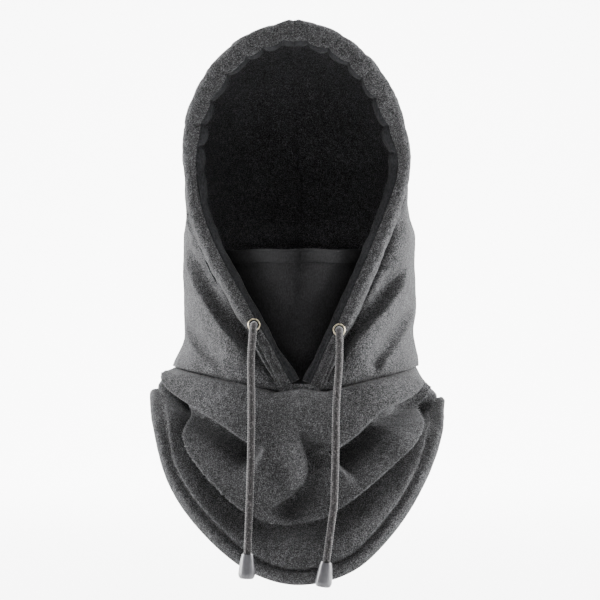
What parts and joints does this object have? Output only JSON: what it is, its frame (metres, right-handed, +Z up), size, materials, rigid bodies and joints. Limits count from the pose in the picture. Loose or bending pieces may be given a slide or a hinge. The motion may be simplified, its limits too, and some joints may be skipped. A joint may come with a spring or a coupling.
{
  "type": "balaclava",
  "caption": "Fleece balaclava hood with a drawcord rim round the face, a pull-down mask panel and a neck bib",
  "frame": {"origin": "the point inside the crown where the top of the head bears", "axes": "+Z up the head, -Y the way the wearer faces, +X to the wearer's left"},
  "size_m": [0.2432, 0.254, 0.4481],
  "materials": {
    "fleece": "brushed knitted fleece, mid-grey with a fine light and dark speckle",
    "lining": "soft dark grey inner fleece",
    "facing": "smooth dark grey knit side of the fleece, gathered along the rim",
    "mask_cloth": "matte black stretch knit",
    "elastic": "woven elastic band",
    "brass": "antique brass, rolled",
    "cord": "braided round cord, warm grey with lighter flecks",
    "cord_end": "satin moulded grey plastic"
  },
  "bodies": {
    "hood": {"hood_left_panel": "fleece", "hood_right_panel": "fleece", "hood_left_lining": "lining", "hood_right_lining": "lining", "rim_left_tunnel": "fleece", "rim_right_tunnel": "fleece", "rim_left_facing": "facing", "rim_right_facing": "facing", "bib_front": "fleece", "bib_back": "fleece", "bib_hem_front": "fleece", "bib_hem_back": "fleece", "mask_panel": "mask_cloth", "eyelet_left": "brass", "eyelet_right": "brass", "eyelet_washer_left": "brass", "eyelet_washer_right": "brass", "drawcord_in_rim": "cord", "cord_left_through_eyelet": "cord", "cord_right_through_eyelet": "cord"},
    "mask_hem": {"mask_top_hem": "mask_cloth", "mask_elastic": "elastic"},
    "cord_right": {"cord_right_tail": "cord"},
    "cord_right_knot": {"cord_knot_right": "cord"},
    "cord_right_end": {"cord_end_right": "cord_end"},
    "cord_left": {"cord_left_tail": "cord"},
    "cord_left_knot": {"cord_knot_left": "cord"},
    "cord_left_end": {"cord_end_left": "cord_end"}
  },
  "joints": [
    {"name": "mask_pull_down", "type": "slide", "parent": "hood", "child": "mask_hem", "axis": [0, 0.3499, -0.9368], "range_m": [0, 0.055], "deforming": ["mask_panel"]},
    {"name": "cord_right_swing", "type": "hinge", "parent": "hood", "child": "cord_right", "pos_m": [-0.0357, -0.10555, -0.23502], "axis": [-1, 0, 0], "range_deg": [0, 75]},
    {"name": "cord_right_pull", "type": "slide", "parent": "cord_right", "child": "cord_right_knot", "axis": [-0.0399, 0.0399, -0.9984], "range_m": [0, 0.04], "deforming": ["cord_right_tail"]},
    {"name": "cord_right_end_slide", "type": "slide", "parent": "cord_right_knot", "child": "cord_right_end", "axis": [0.0399, -0.0399, 0.9984], "range_m": [0, 0.03]},
    {"name": "cord_left_swing", "type": "hinge", "parent": "hood", "child": "cord_left", "pos_m": [0.03255, -0.106, -0.239], "axis": [-1, 0, 0], "range_deg": [0, 75]},
    {"name": "cord_left_pull", "type": "slide", "parent": "cord_left", "child": "cord_left_knot", "axis": [-0.1326, 0.0379, -0.9904], "range_m": [0, 0.04], "deforming": ["cord_left_tail"]},
    {"name": "cord_left_end_slide", "type": "slide", "parent": "cord_left_knot", "child": "cord_left_end", "axis": [0.1326, -0.0379, 0.9904], "range_m": [0, 0.03]}
  ]
}
